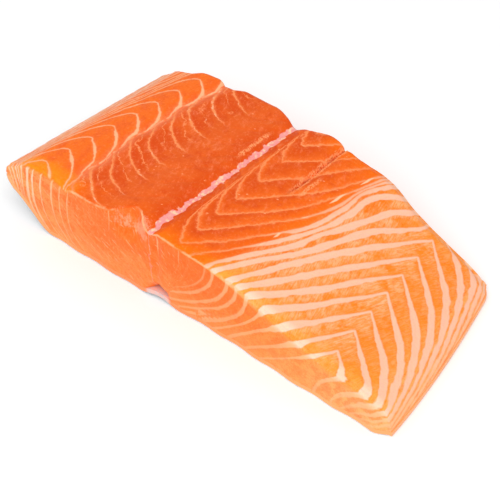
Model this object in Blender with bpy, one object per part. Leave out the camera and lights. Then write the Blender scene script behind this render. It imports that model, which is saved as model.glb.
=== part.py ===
"""Skin-on salmon fillet portion: a block of flesh lying on its skin."""
import math

import bmesh
import bpy

MM = 0.001

# Plan of the portion: back edge at -X, belly edge at +X, the two knife cuts at -Y and +Y
NEAR_WIDTH = 127.8 * MM
DEPTH = 59.05 * MM
BACK_TAPER = 6.9 * MM
BELLY_TAPER = 7.6 * MM
BELLY_CURVE = 1.6
CORNER_ROUND = 1.5 * MM
CORNER_REACH = 0.07

# Height of the upper side at stations across the fish: share of the width, near cut, far cut
TOP_STATIONS = (
    (0.00, 17.0, 16.0),
    (0.04, 20.9, 20.6),
    (0.09, 22.5, 22.9),
    (0.15, 22.8, 24.5),
    (0.26, 23.0, 24.8),
    (0.34, 24.7, 25.2),
    (0.40, 24.9, 25.2),
    (0.48, 23.8, 24.7),
    (0.57, 22.9, 24.1),
    (0.65, 21.5, 21.8),
    (0.75, 17.7, 18.2),
    (0.84, 14.5, 13.0),
    (0.91, 13.4, 9.6),
    (0.95, 12.0, 7.6),
    (1.00, 7.0, 3.6),
)

# Underside: the skin rises from the flat in one soft curve to the rounded back edge
RISE_REACH = 16.4 * MM
RISE_HEIGHT = 10.4 * MM
NOSE_HEIGHT = 14.0 * MM
NOSE_TUCK = 2.2 * MM
TUCK_HEIGHT = 4.1 * MM
NOSE_SHOULDER = 1.2 * MM
BELLY_LEAN = 3.2 * MM
BELLY_SWELL = 0.6 * MM
END_SHARE = 0.05
SKIN_THICK = 1.2 * MM
SKIN_GAP = 0.3 * MM
SKIN_WRAP = 0.12
TUCK_ANGLE = math.radians(40)

# Lines that the muscle makes on the upper side, as share of the width at both cuts
STEP_LINE = (0.172, 0.205)
STEP_DEPTH = 1.0 * MM
STEP_WIDTH = 3.0 * MM
BAND_LINE = (0.412, 0.430)
BAND_DEPTH = 1.3 * MM
BAND_WIDTH = 3.4 * MM

# A shallow crack runs in from the far cut between two flakes
CRACK_X = 6.9 * MM
CRACK_END = 2.0 * MM
CRACK_DEPTH = 0.8 * MM
CRACK_WIDTH = 2.6 * MM

# The far cut stands back at both ends; (share of the width, share that it turns over, depth)
FAR_BACK = (0.115, 0.04, 1.7 * MM)
FAR_BELLY = (0.77, 0.09, 1.6 * MM)
FAR_CORNER = (0.93, 0.16, 0.5 * MM)

# Notches of the far cut at the two lines and between flakes: share of the width, reach, depth
FAR_NOTCHES = (
    (0.225, 5.5 * MM, 1.8 * MM),
    (0.340, 14.0 * MM, 0.5 * MM),
    (0.453, 10.0 * MM, 3.0 * MM),
    (0.625, 9.5 * MM, 1.2 * MM),
)

FAR_LOW_SHARE = 0.4
FAR_LOW_REACH = 1.6

# The near cut waves a little and rounds off at the belly edge
NEAR_WAVE = 0.4 * MM
NEAR_WAVE_START = 0.2
NEAR_WAVE_PERIOD = 0.74
NEAR_ROUND = 1.7 * MM
NEAR_ROUND_REACH = 0.035

# Torn nick at the upper edge of the near cut, and the notch above the skin
NICK_LINE = 0.35
NICK_WIDTH = 7.0 * MM
NICK_DEPTH = 4.4 * MM
NICK_BOTTOM = 15.5 * MM
NICK_TOP = 24.0 * MM
NOTCH_X = -10.0 * MM
NOTCH_WIDTH = 4.6 * MM
NOTCH_HEIGHT = 4.6 * MM
NOTCH_DEPTH = 3.6 * MM
NOTCH_FLOOR = 0.3
TEAR_REACH = 9.0 * MM
LIFT_HEIGHT = 1.2 * MM
LIFT_WIDTH = 6.5 * MM
LIFT_REACH = 12.0 * MM

# Mesh density: columns across the fish, rows along it, layers up the cuts
FLESH_CELLS = (64, 28)
FLESH_LAYERS = 6
SKIN_CELLS = (40, 14)
SKIN_LAYERS = 1
SKIN_CROWDING = 1.5
TANGENT_STEP = 0.01
SLOPE_STEP = 0.1 * MM
CROWDING = 0.45
FLAT_ANGLE = math.radians(0.05)
SHARP_ANGLE = math.radians(40)

FLESH_COLOUR = (0.89, 0.22, 0.055, 1.0)
SKIN_COLOUR = (0.52, 0.42, 0.39, 1.0)


def smooth(value):
    """Soft step from 0 to 1."""
    value = min(max(value, 0.0), 1.0)
    return value * value * (3 - 2 * value)


def bell(offset, width):
    """Soft bump that is 1 in the middle and fades to 0 at the width on either side."""
    return 1 - smooth(abs(offset) / width)


def mix(a, b, share):
    return a + (b - a) * share


def back_edge(along):
    return -NEAR_WIDTH / 2 + BACK_TAPER * along


def belly_edge(along):
    """Belly edge, drawn in with a curve and rounded off at the far cut."""
    rounding = CORNER_ROUND * bell(1 - along, CORNER_REACH)
    return NEAR_WIDTH / 2 - BELLY_TAPER * along ** BELLY_CURVE - rounding


def station_height(across, along):
    """Height of the smooth upper side, curved through the stations."""
    rows = TOP_STATIONS
    index = 0
    while index < len(rows) - 2 and across > rows[index + 1][0]:
        index += 1
    heights = [mix(row[1], row[2], along) for row in rows]
    left, right = rows[index][0], rows[index + 1][0]
    before = max(index - 1, 0)
    after = min(index + 2, len(rows) - 1)
    slope_in = (heights[index + 1] - heights[before]) / (right - rows[before][0])
    slope_out = (heights[after] - heights[index]) / (rows[after][0] - left)
    step = right - left
    u = min(max((across - left) / step, 0.0), 1.0)
    curve = (
        (2 * u ** 3 - 3 * u ** 2 + 1) * heights[index]
        + (u ** 3 - 2 * u ** 2 + u) * step * slope_in
        + (3 * u ** 2 - 2 * u ** 3) * heights[index + 1]
        + (u ** 3 - u ** 2) * step * slope_out
    )
    return curve * MM


def seam_depth(x, y, across, along):
    """Depth of the step line, the band valley and the crack at one point of the upper side."""
    width = belly_edge(along) - back_edge(along)
    step_offset = (across - mix(*STEP_LINE, along)) * width
    band_offset = (across - mix(*BAND_LINE, along)) * width
    depth = STEP_DEPTH * bell(step_offset, STEP_WIDTH)
    depth += BAND_DEPTH * bell(band_offset, BAND_WIDTH)
    depth += CRACK_DEPTH * bell(x - CRACK_X, CRACK_WIDTH) * smooth((y - CRACK_END) / TEAR_REACH)
    return depth


def upper_height(x, y, along):
    across = (x - back_edge(along)) / (belly_edge(along) - back_edge(along))
    return station_height(across, along) - seam_depth(x, y, across, along)


def under_height(x, y, along):
    """Height of the skin's outer side: flat, rising to the back, lifted a little at the near cut."""
    reach = (x - back_edge(along)) / RISE_REACH
    lift = LIFT_HEIGHT * bell(x - NOTCH_X, LIFT_WIDTH) * bell(y + DEPTH / 2, LIFT_REACH)
    return RISE_HEIGHT * (1 - smooth(reach)) + lift


def under_slope(x, y, along):
    left = under_height(x - SLOPE_STEP, y, along)
    right = under_height(x + SLOPE_STEP, y, along)
    return (right - left) / (2 * SLOPE_STEP)


def nose_inset(z):
    """How far the rounded back edge stands in from its outermost line at a height."""
    if z < NOSE_HEIGHT:
        return NOSE_TUCK * ((NOSE_HEIGHT - z) / TUCK_HEIGHT) ** 2
    return NOSE_SHOULDER * ((z - NOSE_HEIGHT) / TUCK_HEIGHT) ** 2


def far_cut(across):
    """How far the far cut stands back from the full depth."""
    width = belly_edge(1) - back_edge(1)
    depth = FAR_BACK[2] * smooth(0.5 - (across - FAR_BACK[0]) / FAR_BACK[1])
    for place, turn, size in (FAR_BELLY, FAR_CORNER):
        depth += size * smooth(0.5 + (across - place) / turn)
    for place, reach, size in FAR_NOTCHES:
        depth += size * bell((across - place) * width, reach)
    return depth


def near_cut(across):
    """How far the near cut stands back from the full depth."""
    wave = 1 - math.cos(2 * math.pi * (across - NEAR_WAVE_START) / NEAR_WAVE_PERIOD)
    return NEAR_ROUND * bell(1 - across, NEAR_ROUND_REACH) + NEAR_WAVE * wave


def between_cuts(across, along, h):
    """Place along the fish between the two cuts; the far cut is straighter down at the skin."""
    near = near_cut(across) - DEPTH / 2
    far = DEPTH / 2 - far_cut(across) * mix(FAR_LOW_SHARE, 1.0, smooth(h * FAR_LOW_REACH))
    return mix(near, far, along)


def near_tear(x, z, across):
    """How far the near cut is torn back: the nick at its upper edge and the notch over the skin."""
    nick = NICK_DEPTH * bell((across - NICK_LINE) * NEAR_WIDTH, NICK_WIDTH)
    nick *= smooth((z - NICK_BOTTOM) / (NICK_TOP - NICK_BOTTOM))
    notch = NOTCH_DEPTH * bell(x - NOTCH_X, NOTCH_WIDTH)
    notch *= 1 - smooth(z / NOTCH_HEIGHT - NOTCH_FLOOR)
    return nick + notch


def crowd(share):
    """Columns and rows stand closer together near the edges."""
    return share - CROWDING * math.sin(2 * math.pi * share) / (2 * math.pi)


def block(cells, layers):
    """A closed box of unit size with its sides divided, built up layer by layer from a grid."""
    mesh = bmesh.new()
    bmesh.ops.create_grid(mesh, x_segments=cells[0], y_segments=cells[1], size=0.5)
    for vert in mesh.verts:
        vert.co.x += 0.5
        vert.co.y += 0.5
    top = list(mesh.faces)
    for layer in range(layers):
        grown = bmesh.ops.extrude_face_region(mesh, geom=top)["geom"]
        raised = [item for item in grown if isinstance(item, bmesh.types.BMVert)]
        bmesh.ops.translate(mesh, verts=raised, vec=(0, 0, 1 / layers))
        if layer > 0:
            bmesh.ops.delete(mesh, geom=top, context="FACES")
        top = [item for item in grown if isinstance(item, bmesh.types.BMFace)]
    bmesh.ops.recalc_face_normals(mesh, faces=mesh.faces)
    return mesh


def flesh_point(u, v, h):
    """Place of one point of the flesh: u across the fish, v along it, h from the skin up."""
    across = crowd(u)
    along = crowd(v)
    left = back_edge(along)
    right = belly_edge(along)
    inset = SKIN_THICK + SKIN_GAP
    y = between_cuts(across, along, h)

    top_start = left + NOSE_SHOULDER
    low_start = left + NOSE_TUCK + inset * math.sin(TUCK_ANGLE)
    top_x = mix(top_start, right - BELLY_LEAN, across)
    low_x = mix(low_start, right - SKIN_GAP, across)
    top_z = upper_height(top_x, y, along)
    slope = under_slope(low_x, y, along)
    low_z = under_height(low_x, y, along) + inset * math.hypot(1, slope)
    x = mix(low_x, top_x, h)
    z = mix(low_z, top_z, h)

    over_skin = smooth((z - NOSE_HEIGHT - SKIN_GAP) / MM)
    tuck = (nose_inset(z + SLOPE_STEP) - nose_inset(z)) / SLOPE_STEP
    wall = left + nose_inset(z) + inset * math.hypot(1, tuck) * (1 - over_skin)
    x += (wall - mix(low_start, top_start, h)) * bell(across, END_SHARE)
    x += 4 * h * (1 - h) * BELLY_SWELL * bell(1 - across, END_SHARE)
    y += near_tear(x, z, across) * (1 - smooth(along * DEPTH / TEAR_REACH))
    return x, y, z


def skin_line(u, y, along):
    """Outer side of the skin: down the rounded back edge, then under to the belly."""
    left = back_edge(along)
    turn_x = left + NOSE_TUCK
    turn_z = under_height(turn_x, y, along)
    if u < SKIN_WRAP:
        z = mix(NOSE_HEIGHT, turn_z, u / SKIN_WRAP)
        return left + nose_inset(z) * NOSE_TUCK / nose_inset(turn_z), z
    share = (u - SKIN_WRAP) / (1 - SKIN_WRAP)
    x = mix(turn_x, belly_edge(along), share ** SKIN_CROWDING)
    return x, under_height(x, y, along)


def skin_point(u, v, h):
    """Place of one point of the skin: u along its outer line, v along the fish, h inwards."""
    along = crowd(v)
    left = back_edge(along)
    across = (skin_line(u, 0, along)[0] - left) / (belly_edge(along) - left)
    y = between_cuts(across, along, 0)
    x, z = skin_line(u, y, along)
    before = skin_line(max(u - TANGENT_STEP, 0), y, along)
    after = skin_line(min(u + TANGENT_STEP, 1), y, along)
    run = after[0] - before[0]
    drop = before[1] - after[1]
    inward = h * SKIN_THICK / math.hypot(run, drop)
    return x + drop * inward, y, z + run * inward


def shape(mesh, place):
    for vert in mesh.verts:
        vert.co = place(*vert.co)
    bmesh.ops.dissolve_limit(
        mesh, angle_limit=FLAT_ANGLE, verts=mesh.verts, edges=mesh.edges
    )
    bmesh.ops.triangulate(mesh, faces=mesh.faces)
    bmesh.ops.recalc_face_normals(mesh, faces=mesh.faces)


def material(name, colour, roughness):
    look = bpy.data.materials.new(name)
    look.use_nodes = True
    shader = look.node_tree.nodes["Principled BSDF"]
    shader.inputs["Base Color"].default_value = colour
    shader.inputs["Roughness"].default_value = roughness
    shader.inputs["Metallic"].default_value = 0.0
    look.diffuse_color = colour
    return look


def add_piece(name, mesh, look, collection):
    data = bpy.data.meshes.new(name)
    mesh.to_mesh(data)
    mesh.free()
    data.materials.append(look)
    data.shade_smooth()
    data.set_sharp_from_angle(angle=SHARP_ANGLE)
    piece = bpy.data.objects.new(name, data)
    collection.objects.link(piece)
    return piece


def build():
    for old in list(bpy.data.objects):
        bpy.data.objects.remove(old)
    collection = bpy.data.collections.new("salmon_fillet")
    bpy.context.scene.collection.children.link(collection)

    flesh = block(FLESH_CELLS, FLESH_LAYERS)
    shape(flesh, flesh_point)
    add_piece("flesh", flesh, material("salmon_flesh", FLESH_COLOUR, 0.35), collection)

    skin = block(SKIN_CELLS, SKIN_LAYERS)
    shape(skin, skin_point)
    add_piece("skin", skin, material("salmon_skin", SKIN_COLOUR, 0.3), collection)


build()
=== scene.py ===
import math
from types import SimpleNamespace

import bmesh
import bpy
import numpy as np
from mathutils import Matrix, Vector, noise


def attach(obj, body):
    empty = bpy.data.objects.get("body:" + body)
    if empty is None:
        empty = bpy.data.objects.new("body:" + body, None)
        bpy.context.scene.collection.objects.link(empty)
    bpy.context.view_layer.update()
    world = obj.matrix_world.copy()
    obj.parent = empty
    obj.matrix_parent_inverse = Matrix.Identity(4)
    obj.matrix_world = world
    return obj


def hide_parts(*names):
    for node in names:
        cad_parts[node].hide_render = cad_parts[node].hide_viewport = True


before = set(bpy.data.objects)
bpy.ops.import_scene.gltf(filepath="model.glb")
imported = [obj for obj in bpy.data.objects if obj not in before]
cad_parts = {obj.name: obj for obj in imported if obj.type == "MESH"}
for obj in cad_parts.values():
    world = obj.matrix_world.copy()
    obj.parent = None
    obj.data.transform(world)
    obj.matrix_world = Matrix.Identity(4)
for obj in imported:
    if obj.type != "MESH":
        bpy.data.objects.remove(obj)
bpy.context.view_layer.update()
print("frame loaded:", sorted(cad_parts))

mm = 0.001  # everything below is worked out in millimetres and scaled once at the end


def smooth(value):
    value = np.clip(value, 0.0, 1.0)
    return value * value * (3 - 2 * value)


def bell(offset, width):  # 1 in the middle, 0 from the width outwards
    return 1 - smooth(np.abs(offset) / width)


def mix(a, b, share):
    return a + (b - a) * share


def noiseAt(x, y, z, size, shift=0.0):  # soft noise from -1 to 1, one swing per size
    steps = zip((x / size).tolist(), (y / size).tolist(), (z / size).tolist())
    return np.array([noise.noise(Vector((a + shift, b - shift, c + shift))) for a, b, c in steps])


# the portion's outline, the same as the solid that the fine pieces stand for
portion = {
    "nearWidth": 127.8,
    "depth": 59.05,
    "backTaper": 6.9,
    "bellyTaper": 7.6,
    "bellyCurve": 1.6,
    "cornerRound": (1.5, 0.07),
    # share of the width, height at the near cut, height at the far cut
    "heights": (
        (0.00, 17.0, 16.0), (0.04, 20.9, 20.6), (0.09, 22.5, 22.9), (0.15, 22.8, 24.5),
        (0.26, 23.0, 24.8), (0.34, 24.7, 25.2), (0.40, 24.9, 25.2), (0.48, 23.8, 24.7),
        (0.57, 22.9, 24.1), (0.65, 21.5, 21.8), (0.75, 17.7, 18.2), (0.84, 14.5, 13.0),
        (0.91, 13.4, 9.6), (0.95, 12.0, 7.6), (1.00, 7.0, 3.6),
    ),
    "riseReach": 16.4,
    "riseHeight": 10.4,
    "noseHeight": 14.0,
    "noseTuck": 2.2,
    "tuckHeight": 4.1,
    "noseShoulder": 1.2,
    "bellyLean": 3.2,
    "bellySwell": 0.6,
    "endShare": 0.05,
    "farBack": (0.115, 0.04, 1.7),
    "farEnds": ((0.77, 0.09, 1.6), (0.93, 0.16, 0.5)),
    "farNotches": ((0.225, 5.5, 1.8), (0.34, 14.0, 0.5), (0.453, 10.0, 3.0), (0.625, 9.5, 1.2)),
    "farLowShare": 0.4,
    "nearWave": (0.4, 0.2, 0.74),
    "nearRound": (1.7, 0.035),
    "nick": (0.35, 7.0, 4.4, 15.5),
    "notch": (-10.0, 4.6, 4.6, 3.6),
    "tearReach": 9.0,
    "lift": (1.2, 6.5, 12.0),
    "lowWave": (0.35, 3.1, 5.3, 9.0),  # size, two swings, height
    # grooves along the fish: depth, half width
    "stepDip": (0.85, 3.0),
    "stepSlit": (0.35, 1.0),
    "bandDip": (1.3, 3.4),
    "crackDip": (0.7, 2.6),
    "crackSlit": (1.1, 0.8),
    "crackStart": (2, 9),
}


def backEdge(along):
    return -portion["nearWidth"] / 2 + portion["backTaper"] * along


def bellyEdge(along):
    drawnIn = portion["bellyTaper"] * along ** portion["bellyCurve"]
    size, reach = portion["cornerRound"]
    return portion["nearWidth"] / 2 - drawnIn - size * bell(1 - along, reach)


def stationHeight(across, along):
    rows = np.array(portion["heights"])
    last = len(rows) - 1
    index = np.clip(np.searchsorted(rows[:, 0], across, side="left") - 1, 0, last - 1)
    after = np.minimum(index + 2, last)
    before = np.maximum(index - 1, 0)
    near, far, place = rows[:, 1], rows[:, 2], rows[:, 0]

    def level(which):
        return mix(near[which], far[which], along)

    step = place[index + 1] - place[index]
    slopeIn = (level(index + 1) - level(before)) / (place[index + 1] - place[before])
    slopeOut = (level(after) - level(index)) / (place[after] - place[index])
    u = np.clip((across - place[index]) / step, 0, 1)
    return (
        (2 * u ** 3 - 3 * u ** 2 + 1) * level(index)
        + (u ** 3 - 2 * u ** 2 + u) * step * slopeIn
        + (3 * u ** 2 - 2 * u ** 3) * level(index + 1)
        + (u ** 3 - u ** 2) * step * slopeOut
    )


def underHeight(x, y, along):
    liftHeight, liftWidth, liftReach = portion["lift"]
    reach = (x - backEdge(along)) / portion["riseReach"]
    lift = liftHeight * bell(x - portion["notch"][0], liftWidth)
    lift = lift * bell(y + portion["depth"] / 2, liftReach)
    return portion["riseHeight"] * (1 - smooth(reach)) + lift


def underSlope(x, y, along):
    return (underHeight(x + 0.1, y, along) - underHeight(x - 0.1, y, along)) / 0.2


def noseInset(z):
    low = portion["noseTuck"] * ((portion["noseHeight"] - z) / portion["tuckHeight"]) ** 2
    high = portion["noseShoulder"] * ((z - portion["noseHeight"]) / portion["tuckHeight"]) ** 2
    return np.where(z < portion["noseHeight"], low, high)


def farCut(across):
    width = bellyEdge(1) - backEdge(1)
    place, turn, size = portion["farBack"]
    depth = size * smooth(0.5 - (across - place) / turn)
    for place, turn, size in portion["farEnds"]:
        depth = depth + size * smooth(0.5 + (across - place) / turn)
    for place, reach, size in portion["farNotches"]:
        depth = depth + size * bell((across - place) * width, reach)
    return depth


def nearCut(across):
    size, start, period = portion["nearWave"]
    wave = 1 - np.cos(2 * math.pi * (across - start) / period)
    return portion["nearRound"][0] * bell(1 - across, portion["nearRound"][1]) + size * wave


def betweenCuts(across, along, h):
    near = nearCut(across) - portion["depth"] / 2
    far = portion["depth"] / 2 - farCut(across) * mix(portion["farLowShare"], 1.0, smooth(h * 1.6))
    return mix(near, far, along)


def nearTear(x, z, across):
    line, width, depth, bottom = portion["nick"]
    nick = depth * bell((across - line) * portion["nearWidth"], width)
    nick = nick * smooth((z - bottom) / (24 - bottom))
    place, wide, high, deep = portion["notch"]
    notch = deep * bell(x - place, wide) * (1 - smooth(z / high - 0.3))
    return nick + notch


def lowerWave(x, y, z):  # the low edge of the near cut waves a little
    size, short, long, high = portion["lowWave"]
    wave = size * (1 + np.sin(x / short) * np.sin(x / long + 1))
    inwards = (y + portion["depth"] / 2) / portion["tearReach"]
    return wave * (1 - smooth(z / high)) * (1 - smooth(inwards))


# the run of the fat seams over the upper side and down the cuts
seams = {
    "stepLine": (-39.5, 0.12, 0.0025),  # x of the step along the fish: start, tilt, bend
    "bandLine": (-9.7, 0.072),
    "crackLine": (6.45, 0.043),
    "backTips": (-46.3, 0.212, -24.9, 7.22),  # x, tilt, first y, pitch of the back chevrons
    "midRows": (-17.5, 7.3, 13.5, 7.0),  # first y, pitch, drop, reach of the middle curves
    "bellyTips": (42.1, -0.09, 23.7, 7.88),
    "valley": (-2.0, 0.03, 0.9, 1.3, 3.2),  # x, tilt, how the seams climb again, how near the band
    "knotLine": (14.6, 0.16),  # where the red seams have small knots and ticks
    "rows": (-30, -20, -10, 0, 10, 20, 30),
    # x where each seam right of the band crosses those rows, from the red part to the belly
    "crossings": (
        (-48.0, -39.0, -30.0, -20.0, -11.6, -2.5, 7.0),
        (-40.0, -31.0, -22.0, -13.5, -4.4, 6.0, 13.0),
        (-32.0, -23.0, -14.0, -4.8, 4.5, 11.5, 17.0),
        (-25.0, -15.7, -6.6, 3.6, 11.8, 16.7, 20.2),
        (-18.5, -9.4, 0.9, 10.1, 15.2, 18.9, 21.2),
        (-11.6, -2.2, 6.8, 14.1, 18.1, 19.6, 22.4),
        (-5.5, 3.9, 11.7, 17.7, 19.6, 20.3, 24.3),
        (0.6, 8.0, 14.6, 19.4, 21.6, 22.8, 29.4),
        (5.9, 11.4, 17.6, 20.8, 25.1, 28.7, 34.4),
        (8.5, 14.2, 20.2, 24.5, 28.4, 34.3, 40.4),
        (13.2, 18.2, 22.9, 27.9, 33.2, 38.3, 44.5),
        (16.2, 22.0, 27.5, 33.0, 38.0, 43.5, 49.0),
        (19.4, 26.4, 32.5, 37.4, 42.8, 48.0, 53.5),
        (24.7, 31.4, 37.0, 42.0, 47.5, 53.0, 58.5),
        (30.7, 36.6, 41.5, 46.5, 52.0, 57.5, 63.0),
        (36.6, 41.5, 46.0, 51.0, 56.5, 62.0, 67.5),
        (41.5, 46.0, 51.0, 56.0, 61.5, 67.0, 72.5),
    ),
    "firstName": 10,
    # seams on the cuts under the back: x at the rim, half width
    "cutLines": (
        (-64.0, 0.12), (-62.4, 0.18), (-61.2, 0.2), (-59.7, 0.26), (-58.6, 0.16), (-57.2, 0.28),
        (-54.6, 0.5), (-52.6, 0.34), (-49.4, 0.2), (-45.3, 0.24), (-42.3, 0.18), (-39.6, 0.2),
        (-34.0, 0.0), (-25.4, 0.14), (-18.0, 0.08), (-9.2, 0.2), (-2.0, 0.1), (6.0, 0.0), (12.0, 0.0),
    ),
    "streak": (15.6, 0.25, -0.0035),  # where seams draw together: x, tilt, bend along the fish
    # how the seams run down the cuts: x at the rim, lean, bend
    "runPlaces": (5, 17.5, 20, 24.5, 31, 45, 51, 58, 62),
    "runLean": (-0.1, 0.0, 0.0, 0.35, 0.85, 0.95, 1.4, 1.5, 0.9),
    "runBend": (0.11, 0.085, 0.065, 0.04, 0, 0, -0.12, -0.1, 0),
    "backRun": (0.2, 0.00085),  # under the back: lean, bend
    "noseRun": 0.15,
}


def stepOffset(x, y):
    start, tilt, bend = seams["stepLine"]
    wander = 0.45 * np.sin(y / 2.9) + 0.3 * np.sin(y / 1.3 + 1)
    return x - (start + tilt * y + bend * y * y + wander)


def bandOffset(x, y):
    return x - (seams["bandLine"][0] + seams["bandLine"][1] * y)


def crackOffset(x, y):
    return x - (seams["crackLine"][0] + seams["crackLine"][1] * y)


def backPhase(x, y):
    start, tilt, first, pitch = seams["backTips"]
    offset = x - (start + tilt * y)
    left = np.maximum(-offset, 0)
    right = np.maximum(offset, 0)
    reach = right + np.maximum(-stepOffset(x, y), 0) + 0.3
    bent = np.minimum(right / reach, 0.95)
    bent = 0.4 * bent / (1 - bent)
    drop = 0 * x
    for turn in range(8):  # the limbs are measured from their own tip, which stands off the tip line
        out = np.where(offset > 0, right - tilt * drop, left + tilt * np.minimum(drop, 20))
        out = np.maximum(out, 0)
        drop = np.where(offset > 0, 0.75 * out + bent, 0.17 * out ** 2)
    return (y + drop - first) / pitch


def midPhase(x, y):
    first, pitch, deep, reach = seams["midRows"]
    offset = np.maximum(stepOffset(x, y), 0)
    drop = deep * (1 - np.exp(-offset / reach)) - 0.25 * np.maximum(0, offset - 16) ** 1.5
    return (y + drop - first) / pitch


def crossingsAt(y):  # x of each seam at each point, curved through the rows
    table = np.array(seams["crossings"])
    rows = seams["rows"]
    place = np.clip((y - rows[0]) / (rows[1] - rows[0]), 0, len(rows) - 1.001)
    index = place.astype(int)
    s = place - index
    weights = (
        -0.5 * s ** 3 + s * s - 0.5 * s,
        1.5 * s ** 3 - 2.5 * s * s + 1,
        -1.5 * s ** 3 + 2 * s * s + 0.5 * s,
        0.5 * s ** 3 - 0.5 * s * s,
    )
    total = 0
    for k, weight in enumerate(weights):
        total = total + table[:, np.clip(index + k - 1, 0, len(rows) - 1)] * weight
    return total


def leftLimb(x, y):
    cross = crossingsAt(y)
    first = seams["firstName"]
    phase = first - (x - cross[0]) / np.maximum(cross[1] - cross[0], 0.3)
    for k in range(len(cross) - 1):
        share = (x - cross[k]) / np.maximum(cross[k + 1] - cross[k], 0.3)
        inside = share >= 0
        phase = np.where(inside, first - k - share, phase)
    return phase


def knotOffset(x, y):
    return x - (seams["knotLine"][0] + seams["knotLine"][1] * y)


def bellyPhase(x, y):
    start, tilt, first, pitch = seams["bellyTips"]
    tip = start + tilt * y
    offset = x - tip
    drop = np.maximum(offset, 0) + 0.15 * np.maximum(offset - 10, 0) ** 2
    right = (y + drop - first) / pitch
    atTip = (y - first) / pitch - leftLimb(tip, y)
    left = leftLimb(x, y) + atTip * smooth((offset + 9) / 9)
    phase = np.where(offset > 0, right, left)
    valleyStart, valleyTilt, slope, curve, nearest = seams["valley"]
    valley = valleyStart + valleyTilt * y
    out = np.maximum(valley - x, 0)
    share = out / np.maximum(bandOffset(valley, y) - nearest, 1)
    share = np.minimum(share, 0.93)
    climb = slope * out + curve * share / (1 - share)
    return np.where(out > 0, leftLimb(valley, y - climb), phase)


def drift(x, depth):  # how far a seam on a cut has come from the place where it left the rim
    lean = np.interp(x, seams["runPlaces"], seams["runLean"])
    bend = np.interp(x, seams["runPlaces"], seams["runBend"])
    body = (lean * depth + bend * depth ** 2 / 2) * smooth((x + 8) / 16)
    backLean, backBend = seams["backRun"]
    back = backLean * depth - backBend * depth ** 3
    back = mix(-seams["noseRun"] * depth, back, smooth((x + 61) / 6))
    return mix(back, body, smooth((x + 38) / 12))


def cutPhase(x):
    places = np.array([line[0] for line in seams["cutLines"]])
    return np.interp(x, places, np.arange(len(places)))


def crackShare(y):  # the crack opens towards the far cut
    start, reach = portion["crackStart"]
    return smooth((y - start) / reach)


def dip(offset, name):
    deep, width = portion[name]
    return deep * bell(offset, width)


def upperHeight(x, y, along):
    across = (x - backEdge(along)) / (bellyEdge(along) - backEdge(along))
    step, crack = stepOffset(x, y), crackOffset(x, y)
    depth = dip(step, "stepDip") + dip(step - 0.3, "stepSlit")
    depth = depth + dip(bandOffset(x, y), "bandDip")
    depth = depth + (dip(crack, "crackDip") + dip(crack + 0.3, "crackSlit")) * crackShare(y)
    return stationHeight(across, along) - depth


def pointsOf(mesh):
    return np.array([vert.co[:] for vert in mesh.verts]).T


def movePoints(mesh, x, y, z):
    for vert, place in zip(mesh.verts, np.stack((x, y, z), 1).tolist()):
        vert.co = place


def thinHidden(mesh, rows, keepRow):  # drops most rows of the side that lies on the skin
    spare = []
    for edge in mesh.edges:
        a, b = edge.verts
        row = round(a.co.y * rows)
        level = max(a.co.z, b.co.z) < 0.5 and abs(a.co.y - b.co.y) < 0.5 / rows
        if level and 0 < row < rows and row % keepRow:
            spare.append(edge)
    bmesh.ops.dissolve_edges(mesh, edges=spare, use_verts=True)


def block(cells, layers, keepRow):
    mesh = bmesh.new()
    bmesh.ops.create_grid(mesh, x_segments=cells[0], y_segments=cells[1], size=0.5)
    bmesh.ops.translate(mesh, verts=mesh.verts, vec=(0.5, 0.5, 0))
    grown = bmesh.ops.extrude_face_region(mesh, geom=list(mesh.faces))["geom"]
    raised = [item for item in grown if isinstance(item, bmesh.types.BMVert)]
    bmesh.ops.translate(mesh, verts=raised, vec=(0, 0, 1))
    thinHidden(mesh, cells[1], keepRow)
    upright = [e for e in mesh.edges if abs(e.verts[0].co.z - e.verts[1].co.z) > 0.5]
    bmesh.ops.subdivide_edges(mesh, edges=upright, cuts=layers - 1, use_grid_fill=True)
    bmesh.ops.recalc_face_normals(mesh, faces=mesh.faces)
    return mesh


def crowd(share, amount):
    return share - amount * np.sin(2 * math.pi * share) / (2 * math.pi)


def makePiece(name, mesh, look, sharpFrom=50):
    bmesh.ops.scale(mesh, vec=(mm, mm, mm), verts=mesh.verts)
    data = bpy.data.meshes.new(name)
    mesh.to_mesh(data)
    mesh.free()
    data.materials.append(look)
    data.shade_smooth()
    data.set_sharp_from_angle(angle=math.radians(sharpFrom))
    piece = bpy.data.objects.new(name, data)
    bpy.context.scene.collection.objects.link(piece)
    return piece


def storeValues(piece, name, *columns):  # up to three numbers for each point
    spare = [0 * columns[0]] * (3 - len(columns))
    values = np.stack([*columns, *spare], 1).astype(np.float32).ravel()
    attribute = piece.data.attributes.new(name, "FLOAT_VECTOR", "POINT")
    attribute.data.foreach_set("vector", values)


bench = {}  # holds the node tree that is being built


def addNode(kind, **settings):
    made = bench["tree"].nodes.new(kind)
    for key, value in settings.items():
        setattr(made, key, value)
    return made


def plug(source, target):
    if isinstance(source, bpy.types.NodeSocket):
        bench["tree"].links.new(source, target)
    else:
        target.default_value = source


def calc(operation, *values, clamp=False):
    made = addNode("ShaderNodeMath", operation=operation, use_clamp=clamp)
    for value, socket in zip(values, made.inputs):
        plug(value, socket)
    return made.outputs[0]


def times(*values):  # the product of two or more
    product = values[0]
    for value in values[1:]:
        product = calc("MULTIPLY", product, value)
    return product


def rest(value):  # what is left of 1
    return calc("SUBTRACT", 1.0, value)


def ramp(value, low, high, start=0.0, end=1.0):  # soft step between two values
    made = addNode("ShaderNodeMapRange", interpolation_type="SMOOTHSTEP")
    for source, name in (
        (value, "Value"), (low, "From Min"), (high, "From Max"), (start, "To Min"), (end, "To Max"),
    ):
        plug(source, made.inputs[name])
    return made.outputs["Result"]


def window(value, rise, fall):  # 1 between two soft steps
    return times(ramp(value, *rise), ramp(value, *fall, 1.0, 0.0))


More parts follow.
